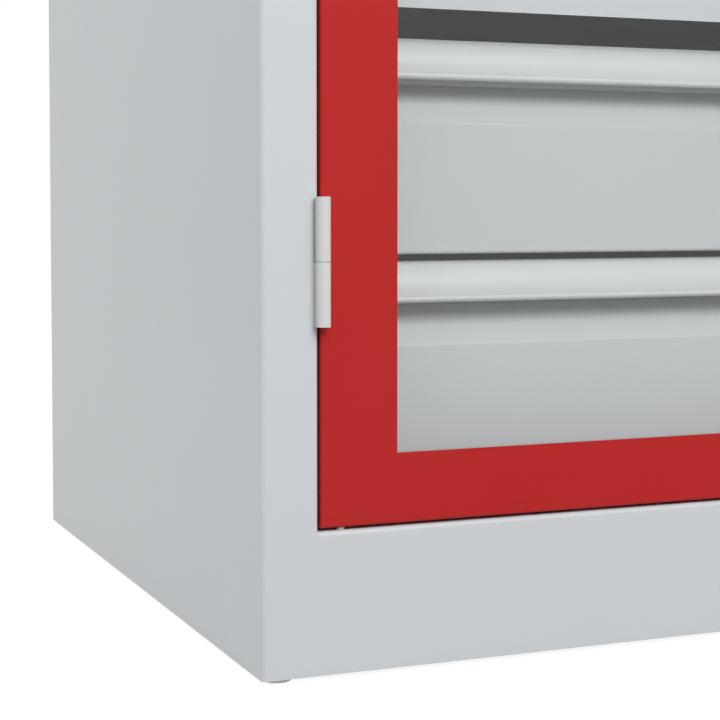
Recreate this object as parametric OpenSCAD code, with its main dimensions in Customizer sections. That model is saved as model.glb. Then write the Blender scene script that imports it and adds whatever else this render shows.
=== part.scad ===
/* [Cabinet body] */
// Width of the body over its sides
body_w = 600; // [560:10:720]
// Depth of the body from the front plane to the rear plane
body_d = 600; // [580:10:720]
// Height from the floor to the top of the roof
body_h = 1000; // [960:10:1300]
// Thickness of the body sheet
sheet_t = 1.5; // [1:0.1:2]
// Outside radius of the bends in the body sheet
bend_r = 3; // [2.5:0.25:4]
// Width of the front posts that are folded from the side panels
post_w = 37.5; // [34:0.5:45]
// Width of the lip that the door closes against
stop_lip_w = 10; // [8:1:16]
// Width of the return at the rear edge of a side panel
rear_return_w = 20; // [14:1:30]
// Thickness of the back panel
back_t = 1.2; // [0.8:0.1:2]
// Height of the plinth up to the sill
sill_h = 91; // [60:1:140]
// Height of the band over the door, with the flange of the roof
header_h = 55; // [48:1:90]
// Height of the flange round the roof
roof_flange_h = 25; // [15:1:32]
// Depth of the stiffening return at the top of the header
header_return_d = 18; // [10:1:22]
// Gap between pieces that stand side by side or seat loosely
fit_gap = 0.3; // [0.2:0.05:0.5]

/* [Feet] */
// Height of the body above the floor
foot_gap = 3.2; // [1:0.2:8]
// Radius of a foot's disc
foot_r = 9.5; // [7:0.5:10]
// Height of a foot's disc
foot_h = 6; // [5:0.5:10]
// Width of the bevel round a foot's sole
foot_bevel = 0.4; // [0.3:0.1:1.6]
// Distance of a foot's centre from the two outer faces of its corner
foot_inset = 14.5; // [13:0.5:15]
// Radius of a foot's threaded stem
foot_stem_r = 4; // [3:0.5:5]
// Length of the stem above the plate that holds it
foot_stem_over = 14; // [8:1:30]
// Height of the foot plates above the edge of the body
foot_plate_up = 12; // [10:1:20]
// Thickness of the foot plates
foot_plate_t = 4; // [3:0.5:6]
// Height of the lock nut on each stem
foot_nut_h = 6; // [4:0.5:7]
// Radius of the lock nut over its corners
foot_nut_r = 8; // [7:0.5:9]

/* [Door] */
// Thickness of the door over its folded edge
door_t = 22; // [20:1:30]
// Gap between the door and the posts
door_side_gap = 1.5; // [1.5:0.1:3]
// Gap between the door and the sill or the header
door_end_gap = 2; // [1.5:0.1:4]
// Gap between the back of the door and the stop lips
stop_gap = 2; // [1.5:0.1:4]
// Width of the door's stiles
stile_w = 52; // [52:1:70]
// Height of the door's top and bottom rails
rail_h = 45; // [40:1:50]
// Thickness of the door sheet
door_sheet_t = 1.2; // [1:0.1:1.6]
// Outside radius of the bends in the door sheet
door_bend_r = 1.75; // [1.75:0.25:3.5]
// Width of the lip at the back of the door's edge
door_lip_w = 14; // [8:1:18]

/* [Window] */
// Thickness of the pane
pane_t = 4; // [3:0.5:6]
// Width of pane that is covered by the door frame
pane_overlap = 12; // [10:1:12]
// Thickness of the gasket between the door frame and the pane
gasket_t = 1; // [0.5:0.1:2]
// Width of the gasket
gasket_w = 9; // [6:0.5:9.5]
// Thickness of the clamping strips behind the pane
clamp_t = 2; // [1.5:0.25:3]
// Width of the clamping strips
clamp_w = 10; // [9:0.5:10]
// Pitch of the screws in the clamping strips, at most
clamp_pitch = 120; // [80:5:200]
// Radius of a clamp screw's head
clamp_screw_r = 3; // [2:0.25:3.5]
// Height of a clamp screw's head
clamp_screw_h = 1.6; // [1:0.1:2.5]

/* [Hinges] */
// Outer radius of a hinge barrel
hinge_r = 4.8; // [4.5:0.1:7]
// Height of one half of a hinge
hinge_half_h = 40; // [30:1:60]
// Gap between the two halves
hinge_split = 0.6; // [0.5:0.1:1.6]
// Distance of a hinge's middle from the end of the door
hinge_inset = 167; // [120:1:220]
// Distance of the hinge axis outside the edge of the door
hinge_out = 0.2; // [0:0.1:0.6]
// Radius of the hinge pin
hinge_pin_r = 2.5; // [2:0.1:3]
// Length of the pin in each half
hinge_pin_l = 32; // [20:1:36]
// Radial clearance of the pin in the door half
hinge_clear = 0.05; // [0.02:0.01:0.1]
// Outer radius of the washer between the halves
hinge_washer_r = 4.4; // [3.8:0.1:4.4]
// Width of the weld foot of a fixed half on the flat of the post
hinge_foot_w = 0.6; // [0.4:0.1:6]
// Thickness of the weld foot
hinge_foot_t = 1.2; // [0.8:0.1:3]

/* [Lock] */
// Distance of the handle's axis from the edge of the door
lock_backset = 21; // [20.5:0.25:21]
// Height of the handle's axis above the middle of the door
lock_up = 0; // [-60:5:120]
// Reach of the handle in front of the door
lever_reach = 38; // [34:1:60]
// Length of the lever from its axis to the centre of its end
lever_l = 88; // [60:1:120]
// Thickness of the lever
lever_t = 11; // [8:0.5:14]
// Radius of the lever's hub
lever_hub_r = 12; // [11:0.5:15]
// Radius of the lever's end
lever_end_r = 7; // [5:0.5:10]
// Radius of the shank that turns in the door
lever_shank_r = 6; // [5:0.25:6.5]
// Radial clearance of turning pieces of the lock
lock_clear = 0.06; // [0.03:0.01:0.1]
// Radius of the rosette
rosette_r = 19; // [16:0.5:20]
// Thickness of the rosette
rosette_t = 5; // [3:0.5:8]
// Radius of the lock cylinder
plug_r = 7; // [5:0.25:8]
// Depth of the lock cylinder in the hub
plug_d = 18; // [12:1:22]
// Width of the key slot
key_slot_w = 2; // [1.5:0.1:2.5]
// Height of the key slot
key_slot_h = 8; // [5:0.5:9]
// Radius from the handle's axis to a crank pin
crank_r = 11; // [9:0.25:11]
// Radius of a crank pin
crank_pin_r = 2; // [1.5:0.1:2.25]
// Thickness of the crank
crank_t = 3; // [2:0.25:4]
// Play of a crank pin in the slot of its rod
crank_play = 0.7; // [0.6:0.05:0.9]
// Width of metal round the crank pins and round the slots of the rods
head_rim = 2.4; // [1.5:0.1:2.5]
// Width of a lock rod
rod_w = 8; // [6:0.5:9]
// Thickness of a lock rod
rod_t = 3; // [2:0.25:4]
// Running gap round the lock rods
rod_gap = 0.4; // [0.3:0.05:0.6]
// Depth of a rod's tip inside the edge of the door
rod_tip_in = 1; // [0.5:0.1:1.4]
// Distance of a rod guide's middle from the end of the door
guide_inset = 75; // [60:1:120]
// Height of a rod guide
guide_h = 16; // [10:1:24]
// Thickness of a rod guide's walls
guide_t = 2.5; // [1.5:0.25:3]
// Width of the lock case
case_w = 37; // [36:0.5:37]
// Height of the lock case
case_h = 96; // [70:1:140]
// Thickness of the lock case
case_t = 1.2; // [1:0.1:1.5]
// Thickness of a keeper plate
keeper_t = 3; // [2:0.25:5]
// Width of a keeper plate round its hole
keeper_rim = 5; // [3:0.5:7]

/* [Drawers] */
// Height of a drawer over its front and handle
drawer_h = 145; // [140:1:170]
// Gap between the two drawers
drawer_gap = 5; // [3:0.5:10]
// Distance of the lower drawer above the floor panel
drawer_up = 21; // [15:1:40]
// Distance of the drawer fronts behind the front plane
drawer_setback = 62; // [58:1:75]
// Distance of the ends of a drawer front from the side of the body
drawer_side_in = 106; // [104:1:130]
// Thickness of the drawer sheet
drawer_t = 1.2; // [0.8:0.1:1.5]
// Outside radius of the bends in the drawer sheet
drawer_bend_r = 2; // [1.75:0.25:3]
// Height of the upright face below the finger recess
drawer_face_h = 88; // [75:1:90]
// Depth of the finger recess
recess_d = 26; // [20:1:30]
// Height over which the recess slopes back
recess_h = 26; // [20:1:32]
// Depth of the drawer front with its returns
front_d = 37; // [36:1:45]
// Height of the flanges that fix a drawer front and its top rail to the box
front_flange_h = 40; // [34:1:50]
// Length of a drawer box
box_l = 460; // [400:5:460]
// Height of a drawer box
box_h = 112; // [90:1:118]
// Distance of a drawer box above the bottom of its front
box_up = 6; // [4:1:10]
// Width of the hem along the top of a drawer box
box_hem_w = 8; // [6:1:12]

/* [Drawer handles] */
// Radius of the handle's rounded nose
nose_r = 23.5; // [22:0.5:24]
// Depth by which the top of the nose is cut level
nose_flat = 3.2; // [2:0.1:4]
// Distance of the nose in front of the drawer's face
nose_proud = 2; // [1:0.5:9]
// Thickness of the handle's wall
nose_t = 2.2; // [1.6:0.1:2.4]
// Thickness of the plate along the top of the handle
plate_t = 2.8; // [2.8:0.1:4]
// Height of the nose's wall below its centre
lip_drop = 4.9; // [3:0.1:6]
// Radius of the bead along the lower edge of the handle
bead_r = 2.6; // [2:0.1:3]
// Thickness of the handle's end caps
cap_t = 2; // [1:0.25:4]

/* [Drawer slides] */
// Height of a slide over its cabinet rail
slide_h = 45; // [36:1:50]
// Thickness of a slide from the carrier to the drawer box
slide_t = 12.7; // [12:0.1:16]
// Length of a slide
slide_l = 450; // [380:5:450]
// Thickness of the rail sheet
slide_sheet_t = 1.2; // [1:0.1:1.4]
// Outside radius of the bends in the rails
slide_bend_r = 2; // [1.75:0.25:2.5]
// Running gap between nested rails
slide_gap = 0.4; // [0.3:0.05:0.6]
// Height of a slide's middle above the bottom of its drawer front
slide_up = 44; // [40:1:50]
// Distance of a slide's front end behind the front of the drawer box
slide_in = 5; // [2:1:10]
// Distance of a slide carrier's face from the side of the body
carrier_in = 112; // [108:1:136]
// Width of the flanges that fix a carrier to the side panel
carrier_flange_w = 20; // [12:1:28]

/* [Shelves] */
// Distance of the divider shelf above the upper drawer
divider_gap = 18; // [10:1:40]
// Height of a shelf's folded edge
shelf_h = 25; // [18:1:40]
// Thickness of the shelf sheet
shelf_t = 1.2; // [1:0.1:2]
// Distance of the shelves behind the stop lips
shelf_setback = 22; // [15:1:60]
// Width of a slotted shelf rail
shelf_rail_w = 30; // [26:1:40]
// Depth of a slotted shelf rail
shelf_rail_d = 12; // [10:1:20]
// Distance of the shelf rails from the front and rear edges of a shelf
shelf_rail_in = 60; // [40:5:120]
// Pitch of the slots in the shelf rails
slot_pitch = 25; // [20:1:40]
// Width of a slot
slot_w = 16; // [12:1:20]
// Height of a slot
slot_h = 4; // [3:0.25:6]
// Number of the slot that carries the adjustable shelf, counted from the lowest
slot_used = 9; // [3:1:12]
// Distance of a clip's seat below its slot
clip_drop = 14; // [10:1:20]
// Reach of a clip's seat under the shelf
clip_reach = 18; // [10:1:30]

/* [Stops and glide] */
// Radius of a door bumper
bumper_r = 4; // [2:0.25:4]
// Distance of the bumpers from the ends of the door
bumper_inset = 60; // [30:5:120]
// Radius of the glide under the door
glide_r = 2.5; // [2:0.25:5]
// Distance of the glide from the hinge-side edge of the door
glide_x_in = 15.5; // [8:0.5:40]
// Distance of the glide behind the front plane
glide_y_in = 6; // [6:0.5:14]

/* [Hidden] */
$fn = 48;
// Steps in which a bend is drawn
bend_steps = 5;
// Overlength of cutting bodies
cut = 1;

body_grey = "#cfd3d4";
drawer_grey = "#c3c6c8";
handle_grey = "#d8d8d9";
door_red = "#b43230";
dark_plastic = "#2b2d30";
white_plastic = "#ebebe8";
steel = "#9da1a5";
rubber = "#3a3b3d";
clear_blue = "#dfe9ee80";

half_t = sheet_t / 2;
left_x = -body_w / 2;
front_y = (lever_reach - body_d) / 2;
rear_y = front_y + body_d;
base_z = foot_gap;
sill_z = base_z + sill_h;
header_z = body_h - header_h;
panel_top_z = body_h - roof_flange_h - fit_gap;
stop_y = front_y + door_t + stop_gap;
inner_x = left_x + sheet_t;
back_y = rear_y - sheet_t - back_t;

door_x = left_x + post_w + door_side_gap;
door_w = -2 * door_x;
door_z = sill_z + door_end_gap;
door_top_z = header_z - door_end_gap;
door_h = door_top_z - door_z;
door_mid_z = (door_z + door_top_z) / 2;
window_half_w = door_w / 2 - stile_w;
window_half_h = door_h / 2 - rail_h;
pane_y = front_y + door_sheet_t + gasket_t;
clamp_y = pane_y + pane_t;

hinge_x = door_x - hinge_out;
hinge_y = front_y - hinge_r;
hinge_zs = [door_z + hinge_inset, door_top_z - hinge_inset];

lock_x = -door_x - lock_backset;
lock_z = door_mid_z + lock_up;
case_y = front_y + door_sheet_t;
crank_rest = 45;
crank_y = case_y + crank_t + case_t;
rod_y = crank_y + crank_t + rod_gap;
cover_y = rod_y + rod_t + 3 * rod_gap;
pin_side = crank_r * cos(crank_rest);
rod_off = (crank_r + pin_side) / 2;
slot_run = crank_r - pin_side + 2 * (crank_pin_r + crank_play);
slot_rise = 2 * (crank_pin_r + crank_play);

drawer_y = front_y + drawer_setback;
drawer_zs = [sill_z + drawer_up, sill_z + drawer_up + drawer_h + drawer_gap];
drawer_end_x = left_x + drawer_side_in;
box_y = drawer_y + front_d;
carrier_x = left_x + carrier_in;
box_x = carrier_x + slide_t;
slide_y = box_y + slide_in;
nose_drop = nose_r - nose_flat;
nose_back = nose_r - nose_proud;

// Slide sections, measured from the face of the carrier
slide_half_t = slide_sheet_t / 2;
rail_step = slide_sheet_t + slide_gap;
cabinet_half_h = slide_h / 2 - slide_half_t;
rail_mouth = slide_t - 2 * slide_gap;
middle_web = slide_t / 3;
drawer_mouth = slide_t / 2;

divider_z = drawer_zs[1] + drawer_h + divider_gap;
divider_top_z = divider_z + shelf_h;
shelf_y = stop_y + sheet_t + shelf_setback;
shelf_rear_y = back_y - fit_gap;
rail_face_x = inner_x + shelf_rail_d;
shelf_rail_top_z = header_z - stop_lip_w;
slot_zs = [for (z = [divider_top_z + slot_pitch : slot_pitch : shelf_rail_top_z - slot_pitch]) z];
shelf_rail_ys = [shelf_y + shelf_rail_in, shelf_rear_y - shelf_rail_in];
clip_z = slot_zs[slot_used] - clip_drop;

function unit(v) = v / norm(v);
function left_of(d) = [-d.y, d.x];
function spin(v, a) = [v.x * cos(a) - v.y * sin(a), v.x * sin(a) + v.y * cos(a)];
function reversed(list) = [for (i = [len(list) - 1 : -1 : 0]) list[i]];

// Points on one face of a bend at p, from direction a to direction b
function bend_points(p, a, b, r, side) =
    let (turn = atan2(cross(a, b), a * b))
    let (s = sign(turn))
    let (centre = p - a * r * tan(abs(turn) / 2) + left_of(a) * s * r)
    [for (i = [0 : bend_steps]) centre + spin(-left_of(a) * s, turn * i / bend_steps) * (r - s * side)];

// Points on one face of a sheet that follows a path, side being the face's distance from the path
function sheet_face(path, r, side) =
    let (last = len(path) - 1)
    [
        path[0] + left_of(unit(path[1] - path[0])) * side,
        for (i = [1 : last - 1])
            each bend_points(path[i], unit(path[i] - path[i - 1]), unit(path[i + 1] - path[i]), r, side),
        path[last] + left_of(unit(path[last] - path[last - 1])) * side
    ];

// Section of a folded sheet whose middle follows a path
module folded(path, t, outer_r) {
    r = outer_r - t / 2;
    polygon(concat(sheet_face(path, r, t / 2), reversed(sheet_face(path, r, -t / 2))));
}

module along_x(x0, x1) translate([x0, 0, 0]) rotate([90, 0, 90]) linear_extrude(x1 - x0) children();
module along_y(y0, y1) translate([0, y1, 0]) rotate([90, 0, 0]) linear_extrude(y1 - y0) children();
module along_z(z0, z1) translate([0, 0, z0]) linear_extrude(z1 - z0) children();
module block(low, high) translate(low) cube(high - low);
module round_z(r, x, y, z0, z1) translate([x, y, z0]) cylinder(r = r, h = z1 - z0);
module round_y(r, x, z, y0, y1) translate([x, y1, z]) rotate([90, 0, 0]) cylinder(r = r, h = y1 - y0);
module mirrored() mirror([1, 0, 0]) children();
module both_sides() {
    children();
    mirrored() children();
}

// Outline whose two upper corners are rounded
function rounded_top(low, high, r) = [
    low, [high.x, low.y],
    for (i = [0 : bend_steps]) [high.x - r, high.y - r] + spin([r, 0], 90 * i / bend_steps),
    for (i = [0 : bend_steps]) [low.x + r, high.y - r] + spin([0, r], 90 * i / bend_steps)
];

// Block whose four top edges are rounded
module soft_block(low, high, r) {
    intersection() {
        along_y(low.y, high.y) polygon(rounded_top([low.x, low.z], [high.x, high.z], r));
        along_x(low.x, high.x) polygon(rounded_top([low.y, low.z], [high.y, high.z], r));
    }
}

// Sheet tray with its edges folded down
module tray(low, high, t, r) {
    wall = [t, t, 0];
    difference() {
        soft_block(low, high, r);
        soft_block(low + wall - [0, 0, cut], high - wall - [0, 0, t], r - t);
    }
}

// Body

module post_path_panel(z0, z1, with_return) {
    rebate = with_return
        ? [[left_x + post_w + stop_lip_w, stop_y + half_t], [left_x + post_w - half_t, stop_y + half_t],
           [left_x + post_w - half_t, front_y + half_t]]
        : [[left_x + post_w, front_y + half_t]];
    wall = [[left_x + half_t, front_y + half_t], [left_x + half_t, rear_y - half_t],
            [left_x + rear_return_w, rear_y - half_t]];
    along_z(z0, z1) folded(concat(rebate, wall), sheet_t, bend_r);
}

module side_panel() {
    post_path_panel(base_z, sill_z, false);
    post_path_panel(sill_z, header_z, true);
    post_path_panel(header_z, panel_top_z, false);
}

module left_side_panel() color(body_grey) side_panel();
module right_side_panel() color(body_grey) mirrored() side_panel();

module back_panel() {
    color(body_grey) block(
        [left_x + bend_r, back_y, base_z],
        [-left_x - bend_r, back_y + back_t, body_h - bend_r]);
}

module roof_panel() {
    color(body_grey) tray(
        [left_x, front_y, panel_top_z + fit_gap], [-left_x, rear_y, body_h], sheet_t, bend_r);
}

module floor_panel() {
    color(body_grey) tray(
        [inner_x + fit_gap, stop_y + sheet_t + fit_gap, sill_z - shelf_h],
        [-inner_x - fit_gap, shelf_rear_y, sill_z], shelf_t, bend_r);
}

// Hole for a lock rod, seen along the rod
module rod_slot(x, gap) {
    translate([x - rod_w / 2 - gap, rod_y - gap]) square([rod_w + 2 * gap, rod_t + 2 * gap]);
}

// Rail across the front whose stop lip makes room for the lips of the posts
module front_rail(path, rod_x) {
    lip_end_x = left_x + post_w + stop_lip_w;
    difference() {
        along_x(left_x + post_w, -left_x - post_w) folded(path, sheet_t, bend_r);
        both_sides() block([left_x, stop_y, 0], [lip_end_x, rear_y, body_h]);
        along_z(0, body_h) rod_slot(rod_x, 2 * rod_gap);
    }
}

module plinth_sill() {
    color(body_grey) front_rail([
        [front_y + half_t, base_z], [front_y + half_t, sill_z - half_t], [stop_y + half_t, sill_z - half_t],
        [stop_y + half_t, sill_z + stop_lip_w]], lock_x + rod_off);
}

module header_rail() {
    color(body_grey) front_rail([
        [front_y + header_return_d, panel_top_z - half_t], [front_y + half_t, panel_top_z - half_t],
        [front_y + half_t, header_z + half_t], [stop_y + half_t, header_z + half_t],
        [stop_y + half_t, header_z - stop_lip_w]], lock_x - rod_off);
}

module at_feet() {
    both_sides() {
        translate([left_x + foot_inset, front_y + foot_inset, 0]) children();
        translate([left_x + foot_inset, rear_y - foot_inset, 0]) mirror([0, 1, 0]) children();
    }
}

// Plate in the corner of the body, set back by the thickness of the sheets round it
module foot_plates() {
    side = foot_inset - sheet_t;
    front = foot_inset - sheet_t - back_t;
    z = base_z + foot_plate_up;
    color(steel) at_feet() difference() {
        block([-side, -front, z], [post_w - foot_inset, foot_inset, z + foot_plate_t]);
        round_z(foot_stem_r, 0, 0, z - cut, z + foot_plate_t + cut);
    }
}

module levelling_feet() {
    plate_z = base_z + foot_plate_up;
    plate_top_z = plate_z + foot_plate_t;
    color(steel) at_feet() {
        cylinder(r1 = foot_r - foot_bevel, r2 = foot_r, h = foot_bevel);
        translate([0, 0, foot_bevel]) cylinder(r = foot_r, h = foot_h / 2 - foot_bevel);
        translate([0, 0, foot_h / 2]) cylinder(r1 = foot_r, r2 = foot_stem_r, h = foot_h / 2);
        cylinder(r = foot_stem_r, h = plate_top_z + foot_stem_over);
        translate([0, 0, plate_top_z]) cylinder(r = foot_nut_r, h = foot_nut_h, $fn = 6);
    }
}

// Drawer carriers and slides

module slide_carrier() {
    wall_x = inner_x + drawer_t / 2;
    face_x = carrier_x - drawer_t / 2;
    front = slide_y - carrier_flange_w;
    rear = shelf_rear_y - 2 * carrier_flange_w;
    along_z(sill_z, divider_z) folded([
        [wall_x, front], [wall_x, front + carrier_flange_w], [face_x, front + carrier_flange_w],
        [face_x, rear], [wall_x, rear], [wall_x, rear + carrier_flange_w]], drawer_t, drawer_bend_r);
}

module left_slide_carrier() color(body_grey) slide_carrier();
module right_slide_carrier() color(body_grey) mirrored() slide_carrier();

// Channel rail of a slide: open side at mouth, web at web, both measured from the carrier's face
module channel_rails(drawer_z, web, mouth, half_h) {
    mid_z = drawer_z + slide_up;
    both_sides() along_y(slide_y, slide_y + slide_l) folded([
        [carrier_x + mouth, mid_z + half_h], [carrier_x + web, mid_z + half_h],
        [carrier_x + web, mid_z - half_h], [carrier_x + mouth, mid_z - half_h]], slide_sheet_t, slide_bend_r);
}

module cabinet_rails(drawer_z) {
    color(steel) channel_rails(drawer_z, slide_half_t, rail_mouth, cabinet_half_h);
}

module middle_rails(drawer_z) {
    color(steel) channel_rails(drawer_z, middle_web, rail_mouth, cabinet_half_h - rail_step);
}

module drawer_rails(drawer_z) {
    half_h = cabinet_half_h - 2 * rail_step;
    color(steel) channel_rails(drawer_z, slide_t - slide_half_t, drawer_mouth, half_h);
}

// Drawers

module drawer_box(drawer_z) {
    h = drawer_t / 2;
    bottom = drawer_z + box_up;
    top = bottom + box_h;
    rear = box_y + box_l;
    color(drawer_grey) {
        along_y(box_y, rear) folded([
            [box_x + box_hem_w, top - h], [box_x + h, top - h], [box_x + h, bottom + h],
            [-box_x - h, bottom + h], [-box_x - h, top - h], [-box_x - box_hem_w, top - h]],
            drawer_t, drawer_bend_r);
        for (y = [box_y, rear - drawer_t])
            block([box_x + h, y, bottom + h], [-box_x - h, y + drawer_t, top - h]);
    }
}

// Front with its finger recess, whose upper edge turns back to carry the top rail
module drawer_front(drawer_z) {
    h = drawer_t / 2;
    face_top = drawer_z + drawer_face_h;
    recess_top = face_top + recess_h;
    back = drawer_y + recess_d;
    end = drawer_y + front_d;
    color(drawer_grey) {
        along_x(drawer_end_x, -drawer_end_x) folded([
            [end - h, drawer_z + front_flange_h], [end - h, drawer_z + h], [drawer_y + h, drawer_z + h],
            [drawer_y + h, face_top], [back + h, recess_top], [end - 3 * drawer_t, recess_top]],
            drawer_t, drawer_bend_r);
        both_sides() along_x(drawer_end_x, drawer_end_x + drawer_t) polygon([
            [drawer_y + h, drawer_z + h], [end - h, drawer_z + h], [end - h, recess_top + h],
            [back + h, recess_top + h], [drawer_y + h, face_top]]);
    }
}

// Rail behind the finger recess that carries the handle, with a foot on the front and a flange to the box
module drawer_top_rail(drawer_z) {
    h = drawer_t / 2;
    plate_z = drawer_z + drawer_h - plate_t;
    foot_z = drawer_z + drawer_face_h + recess_h + drawer_t;
    back = drawer_y + recess_d;
    end = drawer_y + front_d;
    side_x = drawer_end_x + drawer_t;
    color(drawer_grey) {
        along_x(side_x, -side_x) folded([
            [end - 3 * drawer_t, foot_z], [back + h, foot_z], [back + h, plate_z - h], [end - h, plate_z - h],
            [end - h, plate_z - front_flange_h]], drawer_t, drawer_bend_r);
        both_sides() block([drawer_end_x, back + h, foot_z - h], [side_x + drawer_t, end - h, plate_z - h]);
    }
}

// Rounded section of the nose, cut level at the top of the drawer
module nose_section() {
    intersection() {
        circle(nose_r);
        translate([-nose_r - cut, -lip_drop]) square([nose_r + cut, lip_drop + nose_drop]);
    }
}

// Section of a handle: the nose, hollow under its top plate, with a bead along its lower edge
module handle_section() {
    inner_r = nose_r - nose_t;
    plate_z = nose_drop - plate_t;
    difference() {
        union() {
            nose_section();
            translate([-nose_t, plate_z]) square([front_d - nose_back + nose_t, plate_t]);
        }
        intersection() {
            circle(inner_r);
            translate([-nose_r, -nose_r]) square([2 * nose_r, nose_r + plate_z]);
        }
    }
    translate([bead_r - nose_r, -lip_drop]) circle(bead_r);
}

module at_nose(drawer_z) translate([drawer_y + nose_back, drawer_z + drawer_h - nose_drop]) children();

module drawer_handle(drawer_z) {
    color(handle_grey) along_x(drawer_end_x + cap_t, -drawer_end_x - cap_t)
        at_nose(drawer_z) handle_section();
}

module drawer_end_caps(drawer_z) {
    color(handle_grey) both_sides() along_x(drawer_end_x, drawer_end_x + cap_t)
        at_nose(drawer_z) nose_section();
}

// Shelves

module divider_shelf() {
    color(body_grey) tray(
        [inner_x + fit_gap, shelf_y, divider_z], [-inner_x - fit_gap, shelf_rear_y, divider_top_z],
        shelf_t, bend_r);
}

module adjustable_shelf() {
    side_x = rail_face_x + drawer_t + fit_gap;
    color(body_grey) tray(
        [side_x, shelf_y, clip_z], [-side_x, shelf_rear_y, clip_z + shelf_h], shelf_t, bend_r);
}

module shelf_rails() {
    h = drawer_t / 2;
    color(steel) both_sides() for (y = shelf_rail_ys) {
        y0 = y - shelf_rail_w / 2 + h;
        y1 = y + shelf_rail_w / 2 - h;
        difference() {
            along_z(divider_top_z, shelf_rail_top_z) folded([
                [inner_x, y0], [rail_face_x - h, y0], [rail_face_x - h, y1], [inner_x, y1]],
                drawer_t, drawer_bend_r);
            for (z = slot_zs)
                block([rail_face_x - 2 * drawer_t, y - slot_w / 2, z - slot_h / 2],
                      [rail_face_x + cut, y + slot_w / 2, z + slot_h / 2]);
        }
    }
}

module shelf_clips() {
    h = drawer_t / 2;
    leg_x = rail_face_x + h;
    slot_z = clip_z + clip_drop;
    clip_w = slot_w - 4 * fit_gap;
    color(steel) both_sides() for (y = shelf_rail_ys)
        along_y(y - clip_w / 2, y + clip_w / 2) folded([
            [rail_face_x - shelf_rail_d / 2, slot_z], [leg_x, slot_z], [leg_x, clip_z - h],
            [leg_x + clip_reach, clip_z - h]], drawer_t, drawer_bend_r);
}

// Hinges

module hinge_fixed_knuckles() {
    color(body_grey) for (z = hinge_zs) {
        top = z - hinge_split / 2;
        difference() {
            union() {
                round_z(hinge_r, hinge_x, hinge_y, top - hinge_half_h, top);
                block([left_x + post_w - bend_r - hinge_foot_w, front_y - hinge_foot_t, top - hinge_half_h],
                      [hinge_x, front_y, top]);
            }
            round_z(hinge_pin_r, hinge_x, hinge_y, top - hinge_pin_l, top + cut);
        }
    }
}

module hinge_door_knuckles() {
    color(body_grey) for (z = hinge_zs) {
        low = z + hinge_split / 2;
        difference() {
            union() {
                round_z(hinge_r, hinge_x, hinge_y, low, low + hinge_half_h);
                block([door_x + door_bend_r, hinge_y, low], [hinge_x + hinge_r, front_y, low + hinge_half_h]);
            }
            round_z(hinge_pin_r + hinge_clear, hinge_x, hinge_y, low - cut, low + hinge_pin_l + fit_gap);
        }
    }
}

module hinge_pins() {
    reach = hinge_split / 2 + hinge_pin_l;
    color(steel) for (z = hinge_zs)
        round_z(hinge_pin_r, hinge_x, hinge_y, z - reach, z + reach);
}

module hinge_washers() {
    color(steel) for (z = hinge_zs) {
        low = z - hinge_split / 2;
        difference() {
            round_z(hinge_washer_r, hinge_x, hinge_y, low, low + hinge_split - fit_gap);
            round_z(hinge_pin_r + hinge_clear, hinge_x, hinge_y, low - cut, low + hinge_split);
        }
    }
}

// Door

// Folded edge of the door, seen along a member: outer edge at 0, inner edge at width
module door_edge(width) {
    h = door_sheet_t / 2;
    folded([[width, h], [h, h], [h, door_t - h], [door_lip_w, door_t - h]], door_sheet_t, door_bend_r);
}

// Outline of a stile, its ends mitred at half a right angle as far as the rails reach
module stile_outline() {
    top = door_h - rail_h;
    polygon([[0, 0], [door_h, 0], [top, rail_h], [top, stile_w], [rail_h, stile_w], [rail_h, rail_h]]);
}

// Outline of a rail, its ends mitred at half a right angle
module rail_outline() {
    polygon([[0, 0], [door_w, 0], [door_w - rail_h, rail_h], [rail_h, rail_h]]);
}

module stile() {
    intersection() {
        along_z(0, door_h) door_edge(stile_w);
        along_y(0, door_t) rotate(90) mirror([0, 1]) stile_outline();
    }
}

module rail() {
    intersection() {
        along_x(0, door_w) mirror([1, 1]) rotate(180) door_edge(rail_h);
        along_y(0, door_t) rail_outline();
    }
}

module door_frame() {
    color(door_red) difference() {
        union() {
            both_sides() translate([door_x, front_y, door_z]) stile();
            translate([door_x, front_y, door_z]) rail();
            translate([door_x, front_y, door_top_z]) mirror([0, 0, 1]) rail();
        }
        round_y(lever_shank_r + rod_gap, lock_x, lock_z, front_y - cut, front_y + door_sheet_t + cut);
        along_z(door_mid_z, door_top_z + cut) rod_slot(lock_x - rod_off, rod_gap);
        along_z(door_z - cut, door_mid_z) rod_slot(lock_x + rod_off, rod_gap);
    }
}

// Slab behind the window that reaches a margin beyond its edges
module window_slab(margin, y0, y1) {
    block([-window_half_w - margin, y0, door_mid_z - window_half_h - margin],
          [window_half_w + margin, y1, door_mid_z + window_half_h + margin]);
}

module window_pane() color(clear_blue) window_slab(pane_overlap, pane_y, clamp_y);

module pane_gasket() {
    color(rubber) difference() {
        window_slab(pane_overlap, pane_y - gasket_t, pane_y);
        window_slab(pane_overlap - gasket_w, pane_y - gasket_t - cut, pane_y + cut);
    }
}

// Places the strip for an upright or a level edge of the window, with its middle at the origin
module at_clamps() {
    side_x = window_half_w + pane_overlap - clamp_w / 2;
    end_z = window_half_h + pane_overlap - clamp_w / 2;
    for (s = [-1, 1]) {
        translate([s * side_x, clamp_y, door_mid_z]) clamp_span(2 * window_half_h) children();
        translate([0, clamp_y, door_mid_z + s * end_z]) rotate([0, 90, 0])
            clamp_span(2 * window_half_w) children();
    }
}

module clamp_span(length) {
    $span = length;
    children();
}

module pane_clamps() {
    color(steel) at_clamps() block([-clamp_w / 2, 0, -$span / 2], [clamp_w / 2, clamp_t, $span / 2]);
}

module clamp_screws() {
    color(steel) at_clamps() {
        count = ceil($span / clamp_pitch);
        pitch = $span / count;
        for (i = [0 : count - 1])
            round_y(clamp_screw_r, 0, (i + 0.5) * pitch - $span / 2, clamp_t, clamp_t + clamp_screw_h);
    }
}

// Lock

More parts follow.
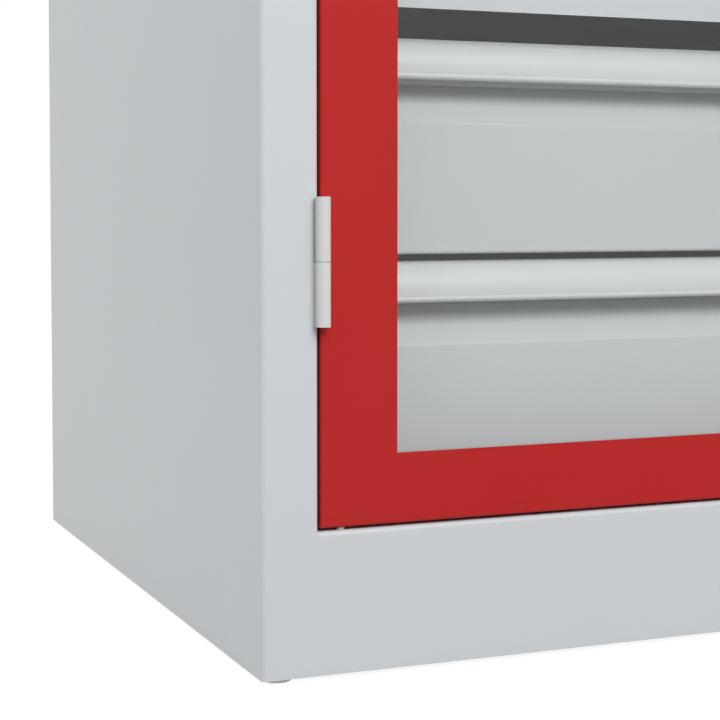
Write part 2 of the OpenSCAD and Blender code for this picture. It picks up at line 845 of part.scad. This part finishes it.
module handle_rosette() {
    color(dark_plastic) difference() {
        round_y(rosette_r, lock_x, lock_z, front_y - rosette_t, front_y);
        round_y(lever_shank_r + lock_clear, lock_x, lock_z, front_y - rosette_t - cut, front_y + cut);
    }
}

module lever_outline() {
    circle(lever_hub_r);
    polygon([[-lever_hub_r, 0], [-lever_end_r, -lever_l], [lever_end_r, -lever_l], [lever_hub_r, 0]]);
    translate([0, -lever_l]) circle(lever_end_r);
}

module lever_handle() {
    nose = front_y - lever_reach;
    color(dark_plastic) difference() {
        union() {
            along_y(nose, nose + lever_t) translate([lock_x, lock_z]) lever_outline();
            round_y(lever_hub_r, lock_x, lock_z, nose, front_y - rosette_t - fit_gap);
            round_y(lever_shank_r, lock_x, lock_z, front_y - rosette_t - fit_gap, crank_y);
        }
        round_y(plug_r + lock_clear, lock_x, lock_z, nose - cut, nose + plug_d + fit_gap);
    }
}

module lock_cylinder() {
    nose = front_y - lever_reach;
    color(steel) difference() {
        round_y(plug_r, lock_x, lock_z, nose, nose + plug_d);
        block([lock_x - key_slot_w / 2, nose - cut, lock_z - key_slot_h / 2],
              [lock_x + key_slot_w / 2, nose + plug_d / 2, lock_z + key_slot_h / 2]);
    }
}

module lock_crank() {
    pin_end = rod_y + rod_t + rod_gap;
    eye_r = crank_pin_r + head_rim;
    color(steel) translate([lock_x, 0, lock_z]) rotate([0, -crank_rest, 0]) {
        along_y(crank_y, crank_y + crank_t) {
            circle(lever_shank_r);
            translate([-crank_r, -eye_r]) square([2 * crank_r, 2 * eye_r]);
            for (s = [-1, 1]) translate([s * crank_r, 0]) circle(eye_r);
        }
        for (s = [-1, 1]) round_y(crank_pin_r, s * crank_r, 0, crank_y + crank_t, pin_end);
    }
}

module lock_case() {
    h = case_t / 2;
    side = case_w / 2 - h;
    color(steel) difference() {
        along_z(lock_z - case_h / 2, lock_z + case_h / 2) translate([lock_x, 0]) folded([
            [-side, cover_y], [-side, case_y + h], [side, case_y + h], [side, cover_y]],
            case_t, drawer_bend_r);
        round_y(lever_shank_r + lock_clear, lock_x, lock_z, case_y - cut, case_y + case_t + cut);
    }
}

module lock_cover() {
    color(steel) block([lock_x - case_w / 2, cover_y, lock_z - case_h / 2],
                       [lock_x + case_w / 2, cover_y + case_t, lock_z + case_h / 2]);
}

// Rod above the lock: a head with a slot for its crank pin, and a bar up to the edge of the door
module lock_rod(pin_z, tip_z) {
    head_w = slot_run / 2 + head_rim;
    head_h = slot_rise / 2 + head_rim;
    difference() {
        union() {
            block([-head_w, rod_y, pin_z - head_h], [head_w, rod_y + rod_t, pin_z + head_h]);
            block([-rod_w / 2, rod_y, pin_z], [rod_w / 2, rod_y + rod_t, tip_z]);
        }
        block([-slot_run / 2, rod_y - cut, pin_z - slot_rise / 2],
              [slot_run / 2, rod_y + rod_t + cut, pin_z + slot_rise / 2]);
    }
}

module upper_lock_rod() {
    color(steel) translate([lock_x - rod_off, 0, 0]) lock_rod(lock_z - pin_side, door_top_z - rod_tip_in);
}

module lower_lock_rod() {
    color(steel) translate([lock_x + rod_off, 0, lock_z]) mirror([0, 0, 1])
        lock_rod(-pin_side, lock_z - door_z - rod_tip_in);
}

module rod_guides() {
    places = [[lock_x - rod_off, door_top_z - guide_inset], [lock_x + rod_off, door_z + guide_inset]];
    half_w = rod_w / 2 + rod_gap + guide_t;
    rear = rod_y + rod_t + rod_gap + guide_t;
    color(dark_plastic) for (place = places) {
        low = [place.x - half_w, case_y, place.y - guide_h / 2];
        high = [place.x + half_w, rear, place.y + guide_h / 2];
        difference() {
            block(low, high);
            along_z(low.z - cut, high.z + cut) rod_slot(place.x, rod_gap);
        }
    }
}

// Keeper plate behind the slot of the sill or the header
module rod_keeper(x, z) {
    along_z(z, z + keeper_t) difference() {
        rod_slot(x, rod_gap + keeper_rim);
        rod_slot(x, rod_gap);
    }
}

module rod_keepers() {
    color(steel) {
        rod_keeper(lock_x - rod_off, header_z + sheet_t);
        rod_keeper(lock_x + rod_off, sill_z - sheet_t - keeper_t);
    }
}

module door_bumpers() {
    x = left_x + post_w + stop_lip_w / 2;
    color(rubber) both_sides() for (z = [door_z + bumper_inset, door_top_z - bumper_inset])
        round_y(bumper_r, x, z, stop_y - stop_gap + fit_gap, stop_y);
}

module sill_glide() {
    color(white_plastic)
        round_z(glide_r, door_x + glide_x_in, front_y + glide_y_in, sill_z, door_z - fit_gap);
}

left_side_panel();
right_side_panel();
back_panel();
roof_panel();
floor_panel();
plinth_sill();
header_rail();
foot_plates();
levelling_feet();
left_slide_carrier();
right_slide_carrier();
divider_shelf();
adjustable_shelf();
shelf_rails();
shelf_clips();
cabinet_rails(drawer_zs[0]);  // lower_cabinet_rails
cabinet_rails(drawer_zs[1]);  // upper_cabinet_rails
hinge_fixed_knuckles();
hinge_pins();
hinge_washers();
rod_keepers();
door_bumpers();
sill_glide();
door_frame();
window_pane();
pane_gasket();
pane_clamps();
clamp_screws();
hinge_door_knuckles();
handle_rosette();
lock_case();
lock_cover();
rod_guides();
lever_handle();
lock_crank();
lock_cylinder();
upper_lock_rod();
lower_lock_rod();
drawer_box(drawer_zs[0]);  // lower_drawer_box
drawer_front(drawer_zs[0]);  // lower_drawer_front
drawer_top_rail(drawer_zs[0]);  // lower_drawer_top_rail
drawer_handle(drawer_zs[0]);  // lower_drawer_handle
drawer_end_caps(drawer_zs[0]);  // lower_drawer_end_caps
drawer_rails(drawer_zs[0]);  // lower_drawer_rails
middle_rails(drawer_zs[0]);  // lower_middle_rails
drawer_box(drawer_zs[1]);  // upper_drawer_box
drawer_front(drawer_zs[1]);  // upper_drawer_front
drawer_top_rail(drawer_zs[1]);  // upper_drawer_top_rail
drawer_handle(drawer_zs[1]);  // upper_drawer_handle
drawer_end_caps(drawer_zs[1]);  // upper_drawer_end_caps
drawer_rails(drawer_zs[1]);  // upper_drawer_rails
middle_rails(drawer_zs[1]);  // upper_middle_rails
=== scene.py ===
"""Looks of a light-grey steel cabinet with a red framed window door and two drawers behind it."""
import math

import bmesh
import bpy
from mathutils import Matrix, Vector


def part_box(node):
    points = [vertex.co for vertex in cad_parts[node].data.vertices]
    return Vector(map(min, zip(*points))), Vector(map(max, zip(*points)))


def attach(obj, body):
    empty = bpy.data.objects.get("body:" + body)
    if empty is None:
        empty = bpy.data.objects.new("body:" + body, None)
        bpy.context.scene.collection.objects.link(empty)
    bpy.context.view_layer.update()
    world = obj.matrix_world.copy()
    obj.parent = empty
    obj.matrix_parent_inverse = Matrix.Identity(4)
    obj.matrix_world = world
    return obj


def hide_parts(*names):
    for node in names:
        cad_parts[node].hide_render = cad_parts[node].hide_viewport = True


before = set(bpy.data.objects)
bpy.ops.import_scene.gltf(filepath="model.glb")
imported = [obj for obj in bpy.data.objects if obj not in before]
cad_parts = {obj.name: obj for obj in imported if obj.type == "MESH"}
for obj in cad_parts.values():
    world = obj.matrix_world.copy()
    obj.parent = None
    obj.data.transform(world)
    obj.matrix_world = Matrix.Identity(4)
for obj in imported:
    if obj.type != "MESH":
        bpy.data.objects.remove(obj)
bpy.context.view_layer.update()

MM = 0.001
WHITE = (1, 1, 1, 1)

# Camera, fitted to the edges of the body, the door and the window
CAMERA_EYE = Vector((-0.6457, -1.2798, 0.2991))
CAMERA_YAW = math.radians(22.372)
CAMERA_PITCH = math.radians(2.793)
CAMERA_LENS = 86.35
CAMERA_SENSOR = 36.0
CAMERA_SHIFT = -0.10


def place_camera():
    """Stands in front of the lower left corner, below the middle of the door."""
    data = bpy.data.cameras.new("camera")
    data.lens = CAMERA_LENS
    data.sensor_width = CAMERA_SENSOR
    data.shift_y = CAMERA_SHIFT
    camera = bpy.data.objects.new("camera", data)
    camera.location = CAMERA_EYE
    camera.rotation_euler = (math.pi / 2 - CAMERA_PITCH, 0, -CAMERA_YAW)
    bpy.context.scene.collection.objects.link(camera)
    bpy.context.scene.camera = camera


# Materials


def linear(hex_colour):
    """Linear RGBA of an sRGB hex value such as "cfd3d4"."""
    channels = [int(hex_colour[i:i + 2], 16) / 255 for i in (0, 2, 4)]
    return [c / 12.92 if c <= 0.04045 else ((c + 0.055) / 1.055) ** 2.4 for c in channels] + [1.0]


def add(tree, kind, inputs=None, **settings):
    """Adds a node with its settings; inputs gives a socket its value or the output that is linked into it."""
    node = tree.nodes.new("ShaderNode" + kind)
    for name, value in settings.items():
        setattr(node, name, value)
    for socket, value in (inputs or {}).items():
        if isinstance(value, bpy.types.NodeSocket):
            tree.links.new(value, node.inputs[socket])
        else:
            node.inputs[socket].default_value = value
    return node


def new_material(name):
    """An empty material and its node tree."""
    made = bpy.data.materials.new(name)
    made.use_nodes = True
    made.node_tree.nodes.clear()
    return made, made.node_tree


def own_place(tree):
    """The object's own coordinates in metres."""
    return add(tree, "TexCoord").outputs["Object"]


def drawn_out(tree, place, scale):
    """Coordinates that draw a pattern out along each axis whose scale is small."""
    return add(tree, "Mapping", {"Vector": place, "Scale": scale}).outputs[0]


def noise(tree, place, size, detail):
    """A soft random pattern with features of a size in mm."""
    scale = 1 / (size * MM)
    return add(tree, "TexNoise", {"Vector": place, "Scale": scale, "Detail": detail}).outputs["Fac"]


def between(tree, share, low, high):
    """The value that a share of 0 to 1 picks between low and high."""
    return add(tree, "MapRange", {"Value": share, "To Min": low, "To Max": high}).outputs[0]


def tinted(tree, share, first, second):
    """The colour that a share of 0 to 1 picks between two hex values."""
    inputs = {0: share, 6: linear(first), 7: linear(second)}
    return add(tree, "Mix", inputs, data_type="RGBA").outputs[2]


def bump(tree, pattern, strength, depth):
    """Relief from a pattern, with a depth in mm."""
    inputs = {"Height": pattern, "Strength": strength, "Distance": depth * MM}
    return add(tree, "Bump", inputs).outputs[0]


def show(tree, shader):
    """Links a shader to the material's output."""
    add(tree, "OutputMaterial", {"Surface": shader.outputs[0]})


def show_surface(tree, colour, roughness, relief, uniform):
    """Shows an opaque surface; uniform holds the values that are the same all over it."""
    inputs = {"Base Color": colour, "Roughness": roughness, "Normal": relief, **uniform}
    show(tree, add(tree, "BsdfPrincipled", inputs))


def powder_coat(name, colour, deeper, roughness, shine):
    """Polyester powder baked on steel sheet: even colour, broad soft gloss, and a fine orange peel.
    The peel is about 1.6 mm from crest to crest, and the film's depth drifts over a hand's width."""
    made, tree = new_material(name)
    place = own_place(tree)
    swing = 0.04
    drift = noise(tree, place, size=90, detail=2.0)
    peel = noise(tree, place, size=1.6, detail=1.0)
    show_surface(tree, tinted(tree, drift, deeper, colour),
                 between(tree, peel, roughness - swing, roughness + swing),
                 bump(tree, peel, strength=0.15, depth=0.02),
                 {"IOR": 1.5, "Specular IOR Level": shine})
    return made


def zinc_plate(name, cool, warm):
    """Zinc-plated, clear-passivated steel: a grey metal with a faint blue and straw drift and rolling lines.
    The lines are finer than the render shows, so they are drawn 0.8 mm apart."""
    made, tree = new_material(name)
    place = own_place(tree)
    drift = noise(tree, place, size=25, detail=3.0)
    lines = noise(tree, drawn_out(tree, place, (1.0, 0.05, 1.0)), size=0.8, detail=2.0)
    show_surface(tree, tinted(tree, drift, cool, warm), between(tree, lines, low=0.28, high=0.46),
                 bump(tree, lines, strength=0.15, depth=0.02), {"Metallic": 1.0})
    return made


def extruded_pvc():
    """Co-extruded PVC grip strip: smooth satin, with faint draw lines along its length, about 1.2 mm apart."""
    made, tree = new_material("extruded_pvc")
    place = own_place(tree)
    drift = noise(tree, place, size=60, detail=2.0)
    lines = noise(tree, drawn_out(tree, place, (0.004, 1.0, 1.0)), size=1.2, detail=1.0)
    show_surface(tree, tinted(tree, drift, "d6d6d6", "dadada"), between(tree, lines, low=0.3, high=0.38),
                 bump(tree, lines, strength=0.1, depth=0.01), {"IOR": 1.53, "Specular IOR Level": 0.5})
    return made


def clear_acrylic():
    """Cast acrylic sheet: clear, with a thin mirror of the room on both faces and faint wiping marks in
    its gloss. A face mirrors about a twenty-eighth of what it meets head on, and nearly all at a glance."""
    head_on, at_a_glance, rise = 0.036, 1.0, 5.0
    made, tree = new_material("cast_acrylic")
    marks = noise(tree, drawn_out(tree, own_place(tree), (1.0, 1.0, 0.15)), size=40, detail=3.0)
    slant = add(tree, "LayerWeight", {"Blend": 0.5})
    steep = add(tree, "Math", {0: slant.outputs["Facing"], 1: rise}, operation="POWER")
    mirrored = between(tree, steep.outputs[0], head_on, at_a_glance)
    clear = add(tree, "BsdfTransparent", {"Color": linear("fdfefe")})
    gloss = between(tree, marks, low=0.02, high=0.09)
    mirror = add(tree, "BsdfAnisotropic", {"Color": WHITE, "Roughness": gloss})
    show(tree, add(tree, "MixShader", {0: mirrored, 1: clear.outputs[0], 2: mirror.outputs[0]}))
    return made


def moulded_plastic(name, colour, lighter, roughness, grain):
    """Injection-moulded plastic: a dull spark-eroded grain of a size in mm, and a drift of colour where the
    melt has flowed."""
    made, tree = new_material(name)
    place = own_place(tree)
    swing = 0.06
    drift = noise(tree, place, size=18, detail=1.0)
    pits = noise(tree, place, size=grain, detail=2.0)
    show_surface(tree, tinted(tree, drift, colour, lighter),
                 between(tree, pits, roughness - swing, roughness + swing),
                 bump(tree, pits, strength=0.3, depth=0.05), {"IOR": 1.5})
    return made


def dress_frame():
    """Gives every node the finish of its slot, and the hinges a paint of their own."""
    finishes = {
        "body_paint": powder_coat("grey_powder_coat", "d3d6d8", "cfd2d4", roughness=0.42, shine=0.4),
        "door_paint": powder_coat("red_powder_coat", "bb2b29", "b52725", roughness=0.42, shine=0.12),
        "drawer_paint": powder_coat("drawer_powder_coat", "ced0d1", "cacccd", roughness=0.44, shine=0.3),
        "grip_plastic": extruded_pvc(),
        "zinc_steel": zinc_plate("zinc_plated_steel", "b4bac2", "c9c7be"),
        "acrylic": clear_acrylic(),
        "black_plastic": moulded_plastic("glass_filled_nylon", "202224", "2a2c2f", roughness=0.46, grain=0.7),
        "rubber": moulded_plastic("epdm_rubber", "2a2b2c", "343536", roughness=0.72, grain=0.9),
        "nylon": moulded_plastic("white_nylon", "ecece8", "f2f2ef", roughness=0.4, grain=1.2),
    }
    hinge_coat = powder_coat("hinge_powder_coat", "d9d9d8", "d5d5d4", roughness=0.4, shine=0.4)
    hinges = ("hinge_fixed_knuckles", "hinge_door_knuckles")
    for name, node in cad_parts.items():
        for held in node.material_slots:
            held.material = hinge_coat if name in hinges else finishes[held.material.name]
    return finishes


# Working of pieces

# Turns that lay a piece's upright axis towards the front or the rear of the cabinet
TO_FRONT = (math.pi / 2, 0, 0)
TO_REAR = (-math.pi / 2, 0, 0)
# Corners closer than this are one
WELD = 0.001 * MM
# Edges sharper than this are rounded, and those sharper than the next stay crisp in the shading
RIM_ANGLE = math.radians(40)
CREASE_ANGLE = math.radians(32)
# Width of a slot's floor as a share of its mouth
SLOT_DRAFT = 0.8


def alone(piece):
    """Makes a piece the only one that operators act on."""
    bpy.ops.object.select_all(action="DESELECT")
    bpy.context.view_layer.objects.active = piece
    piece.select_set(True)


def pick(piece, wanted):
    """Selects the corners of the piece being edited whose place is wanted."""
    bpy.ops.mesh.select_all(action="DESELECT")
    shape = bmesh.from_edit_mesh(piece.data)
    for corner in shape.verts:
        corner.select_set(wanted(corner.co))
    shape.select_flush(True)
    bmesh.update_edit_mesh(piece.data)


def turned(name, rings, sides=32):
    """A piece round about Z, drawn out of a circle from ring to ring, each a radius and a height in mm."""
    radius, height = rings[0]
    bpy.ops.mesh.primitive_circle_add(vertices=sides, radius=radius * MM, location=(0, 0, 0))
    piece = bpy.context.object
    piece.name = name
    bpy.ops.object.mode_set(mode="EDIT")
    bpy.ops.mesh.select_all(action="SELECT")
    bpy.ops.transform.translate(value=(0, 0, height * MM))
    for next_radius, next_height in rings[1:]:
        rise = (0, 0, (next_height - height) * MM)
        bpy.ops.mesh.extrude_edges_move(TRANSFORM_OT_translate={"value": rise})
        scale = next_radius / radius
        bpy.ops.transform.resize(value=(scale, scale, 1), center_override=(0, 0, next_height * MM))
        radius, height = next_radius, next_height
    bpy.ops.mesh.select_all(action="SELECT")
    bpy.ops.mesh.remove_doubles(threshold=WELD)
    bpy.ops.mesh.fill_holes(sides=0)
    bpy.ops.mesh.normals_make_consistent(inside=False)
    bpy.ops.object.mode_set(mode="OBJECT")
    return piece


def soften(piece, width, steps):
    """Rounds the sharp edges of a piece to a width in mm."""
    alone(piece)
    rim = piece.modifiers.new("rim", "BEVEL")
    rim.width = width * MM
    rim.segments = steps
    rim.limit_method = "ANGLE"
    rim.angle_limit = RIM_ANGLE
    bpy.ops.object.modifier_apply(modifier=rim.name)


def combine(piece, other, operation):
    """Welds another solid to a piece, or cuts it out of the piece."""
    alone(piece)
    work = piece.modifiers.new("work", "BOOLEAN")
    work.operation = operation
    work.object = other
    bpy.ops.object.modifier_apply(modifier=work.name)
    bpy.data.objects.remove(other)


def cut_slot(piece, size, place, turn=0.0):
    """Cuts a slot with drafted walls of a size and place in mm, turned about the piece's axis."""
    centre = Vector(place) * MM
    bpy.ops.mesh.primitive_cube_add(size=1, location=centre, rotation=(0, 0, turn))
    cutter = bpy.context.object
    cutter.scale = Vector(size) * MM
    bpy.ops.object.transform_apply(location=True, rotation=True, scale=True)
    bpy.ops.object.mode_set(mode="EDIT")
    pick(cutter, lambda corner: corner.z < centre.z)
    bpy.ops.transform.resize(value=(SLOT_DRAFT, SLOT_DRAFT, 1), center_override=centre)
    bpy.ops.object.mode_set(mode="OBJECT")
    combine(piece, cutter, "DIFFERENCE")


def stand(piece, place, turn=(0, 0, 0)):
    """Turns a piece and moves it to its place in metres, and keeps both in its mesh."""
    alone(piece)
    piece.rotation_euler = turn
    piece.location = place
    bpy.ops.object.transform_apply(location=True, rotation=True, scale=True)


def set_out(piece, places):
    """Puts a copy of a piece at each place in metres and makes all of them one piece."""
    copies = []
    for place in places:
        copy = piece.copy()
        copy.data = piece.data.copy()
        copy.location = place
        bpy.context.scene.collection.objects.link(copy)
        copies.append(copy)
    name = piece.name
    bpy.data.objects.remove(piece)
    alone(copies[0])
    for copy in copies:
        copy.select_set(True)
    bpy.ops.object.join()
    bpy.ops.object.transform_apply(location=True, rotation=True, scale=True)
    copies[0].name = name
    return copies[0]


def fit(piece, body, slot, finish, *nodes):
    """Finishes a piece and hangs it on its body, in place of the nodes it stands for. The slot it is given is
    not used.
    """
    alone(piece)
    bpy.ops.object.shade_smooth_by_angle(angle=CREASE_ANGLE)
    piece.data.materials.clear()
    piece.data.materials.append(finish)
    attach(piece, body)
    if nodes:
        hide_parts(*nodes)


def middle(low, high):
    """The point halfway between two corners."""
    return Vector([(a + b) / 2 for a, b in zip(low, high)])


def solids_of(node):
    """Lowest and highest corners of a node's separate solids, told apart by the corners their faces share."""
    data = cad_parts[node].data
    places = [tuple(round(c, 6) for c in corner.co) for corner in data.vertices]
    group = {place: place for place in places}

    def first(place):
        while group[place] != place:
            place = group[place]
        return place

    for face in data.polygons:
        for corner in face.vertices:
            group[first(places[corner])] = first(places[face.vertices[0]])
    solids = {}
    for place in group:
        solids.setdefault(first(place), []).append(place)
    return [(Vector(map(min, zip(*solid))), Vector(map(max, zip(*solid)))) for solid in solids.values()]


# Pieces, with their measures in mm

# Axis of the lock where it meets the face of the door
LOCK_PLACE = Vector((240.0, -281.0, 519.6)) * MM


def lever_handle(finishes):
    """Moulded lever: a tapered grip with soft rims on a neck, bored for the lock cylinder."""
    sides = 48
    hub, end, reach, back, thick, rim = 12.0, 7.0, 88.0, 27.0, 11.0, 2.6
    neck = [(6, -5.4), (6, 5.3), (11, 5.3), (12, 6.3), (12, 14), (11.3, 28), (11.3, 31)]
    bore = [(7.06, 19.7), (7.06, 37.4), (7.9, 38.2), (7.9, 39)]
    # Corners of the hub's circle below this are drawn down to the end of the grip
    drawn_below = -0.1
    bpy.ops.mesh.primitive_circle_add(vertices=sides, radius=hub * MM, fill_type="NGON", location=(0, 0, 0))
    lever = bpy.context.object
    lever.name = "lever"
    bpy.ops.object.mode_set(mode="EDIT")
    pick(lever, lambda corner: corner.y < drawn_below * MM)
    bpy.ops.transform.resize(value=(end / hub, end / hub, 1), center_override=(0, 0, 0))
    bpy.ops.transform.translate(value=(0, -reach * MM, 0))
    bpy.ops.mesh.select_all(action="SELECT")
    bpy.ops.transform.translate(value=(0, 0, back * MM))
    bpy.ops.mesh.extrude_region_move(TRANSFORM_OT_translate={"value": (0, 0, thick * MM)})
    bpy.ops.mesh.select_all(action="SELECT")
    bpy.ops.mesh.normals_make_consistent(inside=False)
    bpy.ops.object.mode_set(mode="OBJECT")
    soften(lever, rim, steps=4)
    combine(lever, turned("neck", neck, sides), "UNION")
    combine(lever, turned("bore", bore, sides), "DIFFERENCE")
    stand(lever, LOCK_PLACE, TO_FRONT)
    fit(lever, "handle", "black_plastic", finishes["black_plastic"], "lever_handle")


def rosette(finishes):
    """Moulded ring between the lever and the door, dished a little towards its bore."""
    section = [(6.06, 0), (19, 0), (19, 2.4), (18.6, 3.7), (17.6, 4.6), (16.2, 5), (15, 4.8), (9, 4.1),
               (6.06, 4), (6.06, 0)]
    ring = turned("rosette", section, sides=64)
    stand(ring, LOCK_PLACE, TO_FRONT)
    fit(ring, "door", "black_plastic", finishes["black_plastic"], "handle_rosette")


def lock_plug(finishes):
    """Turned lock cylinder with a broken front edge and a key slot."""
    radius, rear, face, edge = 7.0, 20.0, 38.0, 0.5
    key_slot = (2, 8, 18)
    plug = turned("lock_plug", [(radius, rear), (radius, face - edge), (radius - edge, face)], sides=48)
    cut_slot(plug, key_slot, (0, 0, face))
    stand(plug, LOCK_PLACE, TO_FRONT)
    fit(plug, "lock_plug", "zinc_steel", finishes["zinc_steel"], "lock_cylinder")


def pan_head(name, radius, height):
    """Head of a pan-head screw with a cross recess, standing on Z."""
    section = [(1, 0), (1, 0.35), (0.93, 0.68), (0.72, 0.92), (0.4, 1)]
    recess_l, recess_w, recess_turn = 1.25 * radius, 0.24 * radius, 0.4
    head = turned(name, [(out * radius, up * height) for out, up in section], sides=24)
    for turn in (recess_turn, recess_turn + math.pi / 2):
        cut_slot(head, (recess_l, recess_w, height), (0, 0, height), turn)
    return head


def clamp_screws(finishes):
    """Screws that hold the pane's strips, their heads towards the inside of the cabinet."""
    head = pan_head("strip_screws", radius=3.0, height=1.6)
    stand(head, (0, 0, 0), TO_REAR)
    places = []
    for low, high in solids_of("clamp_screws"):
        places.append(middle(low, high))
        places[-1].y = low.y
    fit(set_out(head, places), "door", "zinc_steel", finishes["zinc_steel"], "clamp_screws")


def rail_screws(finishes):
    """Three screws in each drawer rail, inside its channel, that hold it to the drawer box."""
    # From the rail's outer side to the face of its web, and where the screws are along the rail
    seat = (5.75 - 1.2) * MM
    shares = (0.08, 0.45, 0.9)
    for drawer in ("lower", "upper"):
        low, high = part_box(drawer + "_drawer_rails")
        for side, x, turn in (("left", low.x + seat, -math.pi / 2), ("right", high.x - seat, math.pi / 2)):
            head = pan_head("_".join((drawer, side, "rail_screws")), radius=3.4, height=2.0)
            stand(head, (0, 0, 0), (0, turn, 0))
            places = [Vector((x, low.y + share * (high.y - low.y), (low.z + high.z) / 2)) for share in shares]
            fit(set_out(head, places), drawer + "_drawer", "zinc_steel", finishes["zinc_steel"])


def levelling_feet():
    """Feet of zinc with painted shade: a darker copy of the zinc plate that stands in for the shade under the
    cabinet, with a bevelled sole, a threaded stem and a hexagon lock nut.
    """
    sole_r = 9.5
    sole = [(9.2, 0), (9.45, 0.3), (sole_r, 0.5), (sole_r, 2.5), (9.2, 2.9), (8.4, 3.2), (4.4, 5.6)]
    pitch, root_r, crest_r, crest_low, crest_high = 1.25, 3.5, 4.0, 0.35, 0.65
    stem_low, stem_top, tip = 6.2, 32.6, (3.0, 33.2)
    nut_r, nut_h, nut_z, nut_rim = 8.0, 6.0, 22.2, 0.6
    thread = []
    for i in range(int((stem_top - stem_low) / pitch)):
        thread += [(root_r, stem_low + i * pitch), (crest_r, stem_low + (i + crest_low) * pitch),
                   (crest_r, stem_low + (i + crest_high) * pitch)]
    foot = turned("levelling_feet", sole + thread + [(root_r, stem_top), tip])
    bpy.ops.mesh.primitive_cylinder_add(
        vertices=6, radius=nut_r * MM, depth=nut_h * MM, location=(0, 0, nut_z * MM))
    nut = bpy.context.object
    bpy.ops.object.transform_apply(location=True, rotation=True, scale=True)
    soften(nut, nut_rim, steps=2)
    alone(foot)
    nut.select_set(True)
    bpy.ops.object.join()
    low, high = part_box("levelling_feet")
    reach = sole_r * MM
    places = [Vector((x, y, 0)) for x in (low.x + reach, high.x - reach)
              for y in (low.y + reach, high.y - reach)]
    # Painted shade: a darker copy of the zinc plate, for the feet that stand in the shade under the cabinet
    shade_darkened_zinc = zinc_plate("shade_darkened_zinc_steel", "969ba0", "a5a49e")
    fit(set_out(foot, places), "carcass", "zinc_steel", shade_darkened_zinc, "levelling_feet")


def door_bumpers(finishes):
    """Domed rubber studs on the lips that the door closes against."""
    dome = [(4, 0), (4, 0.5), (3.7, 1.0), (3.0, 1.4), (1.9, 1.65), (0.7, 1.7)]
    stud = turned("door_bumpers", dome)
    stand(stud, (0, 0, 0), TO_FRONT)
    places = []
    for low, high in solids_of("door_bumpers"):
        places.append(middle(low, high))
        places[-1].y = high.y
    fit(set_out(stud, places), "carcass", "rubber", finishes["rubber"], "door_bumpers")


def sill_glide(finishes):
    """Moulded glide button on the sill, under the corner of the door."""
    dome = [(2.5, 0), (2.5, 0.9), (2.3, 1.35), (1.8, 1.62), (1.0, 1.7)]
    low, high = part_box("sill_glide")
    button = turned("glide_button", dome)
    stand(button, ((low.x + high.x) / 2, (low.y + high.y) / 2, low.z))
    fit(button, "carcass", "nylon", finishes["nylon"], "sill_glide")


# Studio

FLOOR_SIZE = 14.0
FLOOR_GLOW = 0.9
# Grey of the floor where it is seen, and where it throws light back at the cabinet
FLOOR_SEEN = "8c8c8c"
FLOOR_BOUNCE = "a4a4a4"
SKY = "fcfdff"
SKY_STRENGTH = 0.48
# Name, place, aim, size and power of the lamps
LAMPS = (
    ("key_lamp", Vector((0.05, -3.1, 2.4)), Vector((-0.1, -0.28, 0.4)), 2.2, 86.0),
    ("fill_lamp", Vector((-3.4, 0.9, 2.0)), Vector((-0.3, 0.1, 0.7)), 2.4, 43.0),
    ("rear_lamp", Vector((2.8, 2.7, 0.9)), Vector((0.1, 0.1, 0.5)), 1.6, 38.0),
)


def seen_directly(tree):
    """1 for rays that show the studio itself, to the camera or in gloss, also through the clear pane."""
    path = add(tree, "LightPath").outputs
    inputs = {0: path["Is Camera Ray"], 1: path["Is Glossy Ray"]}
    return add(tree, "Math", inputs, operation="MAXIMUM").outputs[0]


def light_sky():
    """An even sky for the light, and pure white where the surround itself is seen."""
    world = bpy.data.worlds.new("studio")
    bpy.context.scene.world = world
    world.use_nodes = True
    tree = world.node_tree
    tree.nodes.clear()
    sky = add(tree, "Background", {"Color": linear(SKY), "Strength": SKY_STRENGTH})
    white = add(tree, "Background", {"Color": WHITE, "Strength": 1.0})
    both = add(tree, "MixShader", {0: seen_directly(tree), 1: sky.outputs[0], 2: white.outputs[0]})
    add(tree, "OutputWorld", {"Surface": both.outputs[0]})


def lay_floor():
    """A floor of paper that glows white where it is seen, and is a plain grey to the light."""
    bpy.ops.mesh.primitive_plane_add(size=FLOOR_SIZE)
    floor = bpy.context.object
    floor.name = "floor"
    made, tree = new_material("studio_floor")
    glow = add(tree, "Emission", {"Color": WHITE, "Strength": FLOOR_GLOW})
    paper = add(tree, "BsdfDiffuse", {"Color": linear(FLOOR_SEEN)})
    seen = add(tree, "AddShader", {0: glow.outputs[0], 1: paper.outputs[0]})
    lit = add(tree, "BsdfDiffuse", {"Color": linear(FLOOR_BOUNCE)})
    show(tree, add(tree, "MixShader", {0: seen_directly(tree), 1: lit.outputs[0], 2: seen.outputs[0]}))
    floor.data.materials.append(made)


def hang_lamp(name, place, aim, size, power):
    """A round soft box at a place in metres, turned towards its aim."""
    lamp = bpy.data.lights.new(name, "AREA")
    lamp.shape = "DISK"
    lamp.size = size
    lamp.energy = power
    box = bpy.data.objects.new(name, lamp)
    box.location = place
    box.rotation_euler = (aim - place).to_track_quat("-Z", "Y").to_euler()
    bpy.context.scene.collection.objects.link(box)


def build_studio():
    """A sky, a floor, a broad lamp over the front, and one lamp each for the left and the rear."""
    light_sky()
    lay_floor()
    for lamp in LAMPS:
        hang_lamp(*lamp)
    bpy.context.scene.view_settings.view_transform = "Standard"


bpy.ops.object.select_all(action="DESELECT")
place_camera()
finishes = dress_frame()
lever_handle(finishes)
rosette(finishes)
lock_plug(finishes)
clamp_screws(finishes)
rail_screws(finishes)
levelling_feet()
door_bumpers(finishes)
sill_glide(finishes)
build_studio()
